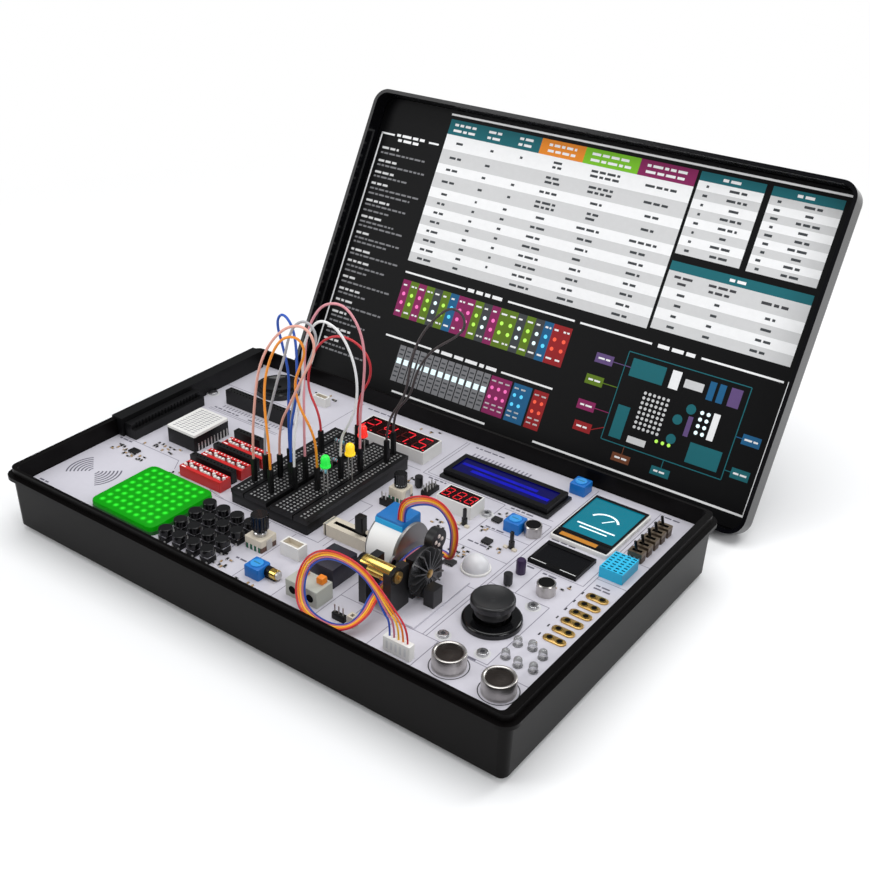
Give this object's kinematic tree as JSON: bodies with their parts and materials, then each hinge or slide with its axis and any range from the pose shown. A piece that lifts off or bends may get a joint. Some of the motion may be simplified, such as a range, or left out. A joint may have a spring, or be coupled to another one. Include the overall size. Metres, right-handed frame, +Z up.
{
  "type": "electronics learning kit",
  "caption": "Black case with a hinged lid holding a printed chart, and a white circuit board of sensors, displays, buttons, a joystick, a breadboard and a motor.",
  "frame": {"origin": "centre of the tray's flat underside, 3 mm above the surface that its rubber feet stand on", "axes": "+X to the right along the case, +Y towards the lid's hinge, +Z up"},
  "size_m": [0.3334, 0.3467, 0.1855],
  "materials": {
    "case_black": "satin moulded",
    "lid_black": "polished moulded",
    "printed_panel": "printed sheet",
    "rubber_black": "matt",
    "board_white": "solder mask",
    "steel": "plain",
    "green_board": "solder mask",
    "black_plastic": "moulded",
    "white_plastic": "moulded",
    "red_plastic": "moulded",
    "green_light": "lit diffuser",
    "beige_plastic": "moulded",
    "brass": "plain",
    "silver_can": "plated",
    "blue_glass": "screen",
    "screen_dark": "screen",
    "wire_orange": "insulation",
    "black_gloss": "gloss"
  },
  "bodies": {
    "base": {"base_tray": "case_black", "base_feet": "rubber_black", "side_port_cover": "case_black", "hinge_pins": "steel", "circuit_board": "board_white", "board_screws": "steel", "computer_board": "green_board", "external_connector": "black_plastic", "channel_selector": "white_plastic", "socket_strips": "black_plastic", "dip_switches": "red_plastic", "led_matrix": "green_light", "button_bases": "black_plastic", "control_bodies": "beige_plastic", "toggle_bodies": "brass", "joystick_base": "black_plastic", "stepper_motor": "silver_can", "motor_bracket": "black_plastic", "gold_motor": "brass", "lcd_display": "blue_glass", "small_screens": "screen_dark", "digit_displays": "white_plastic", "ultrasonic_cans": "silver_can", "breadboard": "black_plastic", "breadboard_parts": "black_plastic", "sensor_parts": "white_plastic", "touch_pads": "brass", "board_connectors": "white_plastic", "jumper_wires": "wire_orange", "motor_ribbon": "wire_orange"},
    "lid": {"lid_shell": "lid_black", "lid_panel": "printed_panel"},
    "button_1": {"button_cap_1": "black_plastic"},
    "button_2": {"button_cap_2": "black_plastic"},
    "button_3": {"button_cap_3": "black_plastic"},
    "button_4": {"button_cap_4": "black_plastic"},
    "button_5": {"button_cap_5": "black_plastic"},
    "button_6": {"button_cap_6": "black_plastic"},
    "button_7": {"button_cap_7": "black_plastic"},
    "button_8": {"button_cap_8": "black_plastic"},
    "button_9": {"button_cap_9": "black_plastic"},
    "button_10": {"button_cap_10": "black_plastic"},
    "button_11": {"button_cap_11": "black_plastic"},
    "button_12": {"button_cap_12": "black_plastic"},
    "button_13": {"button_cap_13": "black_plastic"},
    "button_14": {"button_cap_14": "black_plastic"},
    "button_15": {"button_cap_15": "black_plastic"},
    "button_16": {"button_cap_16": "black_plastic"},
    "toggle_1": {"toggle_lever_1": "black_plastic"},
    "toggle_2": {"toggle_lever_2": "black_plastic"},
    "toggle_3": {"toggle_lever_3": "black_plastic"},
    "toggle_4": {"toggle_lever_4": "black_plastic"},
    "toggle_5": {"toggle_lever_5": "black_plastic"},
    "encoder": {"encoder_knob": "black_plastic"},
    "potentiometer": {"pot_knob": "black_plastic"},
    "slider": {"slide_lever": "black_plastic"},
    "stick_gimbal": {"joystick_gimbal": "black_plastic"},
    "stick_cap": {"joystick_cap": "black_gloss"},
    "output_shaft": {"stepper_shaft": "steel"},
    "fan": {"fan_wheel": "black_plastic"}
  },
  "joints": [
    {"name": "lid_hinge", "type": "hinge", "parent": "base", "child": "lid", "pos_m": [0, 0.1088, 0.0092], "axis": [1, 0, 0], "range_deg": [0, 55]},
    {"name": "button_1_press", "type": "slide", "parent": "base", "child": "button_1", "axis": [0, 0, -1], "range_m": [0, 0.00025], "stiffness_N_per_m": 800},
    {"name": "button_2_press", "type": "slide", "parent": "base", "child": "button_2", "axis": [0, 0, -1], "range_m": [0, 0.00025], "stiffness_N_per_m": 800},
    {"name": "button_3_press", "type": "slide", "parent": "base", "child": "button_3", "axis": [0, 0, -1], "range_m": [0, 0.00025], "stiffness_N_per_m": 800},
    {"name": "button_4_press", "type": "slide", "parent": "base", "child": "button_4", "axis": [0, 0, -1], "range_m": [0, 0.00025], "stiffness_N_per_m": 800},
    {"name": "button_5_press", "type": "slide", "parent": "base", "child": "button_5", "axis": [0, 0, -1], "range_m": [0, 0.00025], "stiffness_N_per_m": 800},
    {"name": "button_6_press", "type": "slide", "parent": "base", "child": "button_6", "axis": [0, 0, -1], "range_m": [0, 0.00025], "stiffness_N_per_m": 800},
    {"name": "button_7_press", "type": "slide", "parent": "base", "child": "button_7", "axis": [0, 0, -1], "range_m": [0, 0.00025], "stiffness_N_per_m": 800},
    {"name": "button_8_press", "type": "slide", "parent": "base", "child": "button_8", "axis": [0, 0, -1], "range_m": [0, 0.00025], "stiffness_N_per_m": 800},
    {"name": "button_9_press", "type": "slide", "parent": "base", "child": "button_9", "axis": [0, 0, -1], "range_m": [0, 0.00025], "stiffness_N_per_m": 800},
    {"name": "button_10_press", "type": "slide", "parent": "base", "child": "button_10", "axis": [0, 0, -1], "range_m": [0, 0.00025], "stiffness_N_per_m": 800},
    {"name": "button_11_press", "type": "slide", "parent": "base", "child": "button_11", "axis": [0, 0, -1], "range_m": [0, 0.00025], "stiffness_N_per_m": 800},
    {"name": "button_12_press", "type": "slide", "parent": "base", "child": "button_12", "axis": [0, 0, -1], "range_m": [0, 0.00025], "stiffness_N_per_m": 800},
    {"name": "button_13_press", "type": "slide", "parent": "base", "child": "button_13", "axis": [0, 0, -1], "range_m": [0, 0.00025], "stiffness_N_per_m": 800},
    {"name": "button_14_press", "type": "slide", "parent": "base", "child": "button_14", "axis": [0, 0, -1], "range_m": [0, 0.00025], "stiffness_N_per_m": 800},
    {"name": "button_15_press", "type": "slide", "parent": "base", "child": "button_15", "axis": [0, 0, -1], "range_m": [0, 0.00025], "stiffness_N_per_m": 800},
    {"name": "button_16_press", "type": "slide", "parent": "base", "child": "button_16", "axis": [0, 0, -1], "range_m": [0, 0.00025], "stiffness_N_per_m": 800},
    {"name": "toggle_1_flip", "type": "hinge", "parent": "base", "child": "toggle_1", "pos_m": [0.1445, 0.078, 0.0301], "axis": [0, 1, 0], "range_deg": [0, 24]},
    {"name": "toggle_2_flip", "type": "hinge", "parent": "base", "child": "toggle_2", "pos_m": [0.1445, 0.0707, 0.0301], "axis": [0, 1, 0], "range_deg": [0, 24]},
    {"name": "toggle_3_flip", "type": "hinge", "parent": "base", "child": "toggle_3", "pos_m": [0.1445, 0.0634, 0.0301], "axis": [0, 1, 0], "range_deg": [0, 24]},
    {"name": "toggle_4_flip", "type": "hinge", "parent": "base", "child": "toggle_4", "pos_m": [0.1445, 0.0561, 0.0301], "axis": [0, 1, 0], "range_deg": [0, 24]},
    {"name": "toggle_5_flip", "type": "hinge", "parent": "base", "child": "toggle_5", "pos_m": [0.1445, 0.0488, 0.0301], "axis": [0, 1, 0], "range_deg": [0, 24]},
    {"name": "encoder_turn", "type": "hinge", "parent": "base", "child": "encoder", "pos_m": [-0.0133, -0.0587, 0.04], "axis": [0, 0, 1], "continuous": true},
    {"name": "potentiometer_turn", "type": "hinge", "parent": "base", "child": "potentiometer", "pos_m": [0.0155, 0.021, 0.04], "axis": [0, 0, 1], "range_deg": [-150, 150]},
    {"name": "slider_travel", "type": "slide", "parent": "base", "child": "slider", "axis": [1, 0, 0], "range_m": [-0.0149, 0.0018]},
    {"name": "stick_tilt_x", "type": "hinge", "parent": "base", "child": "stick_gimbal", "pos_m": [0.1149, -0.0382, 0.0307], "axis": [1, 0, 0], "range_deg": [-15, 15], "stiffness_Nm_per_rad": 0.02},
    {"name": "stick_tilt_y", "type": "hinge", "parent": "stick_gimbal", "child": "stick_cap", "pos_m": [0.1149, -0.0382, 0.0307], "axis": [0, 1, 0], "range_deg": [-15, 15], "stiffness_Nm_per_rad": 0.02},
    {"name": "output_shaft_turn", "type": "hinge", "parent": "base", "child": "output_shaft", "pos_m": [0.066, -0.0306, 0.03275], "axis": [1, 0, 0], "continuous": true},
    {"name": "fan_turn", "type": "hinge", "parent": "base", "child": "fan", "pos_m": [0.079, -0.0418, 0.041], "axis": [1, 0, 0], "continuous": true}
  ]
}
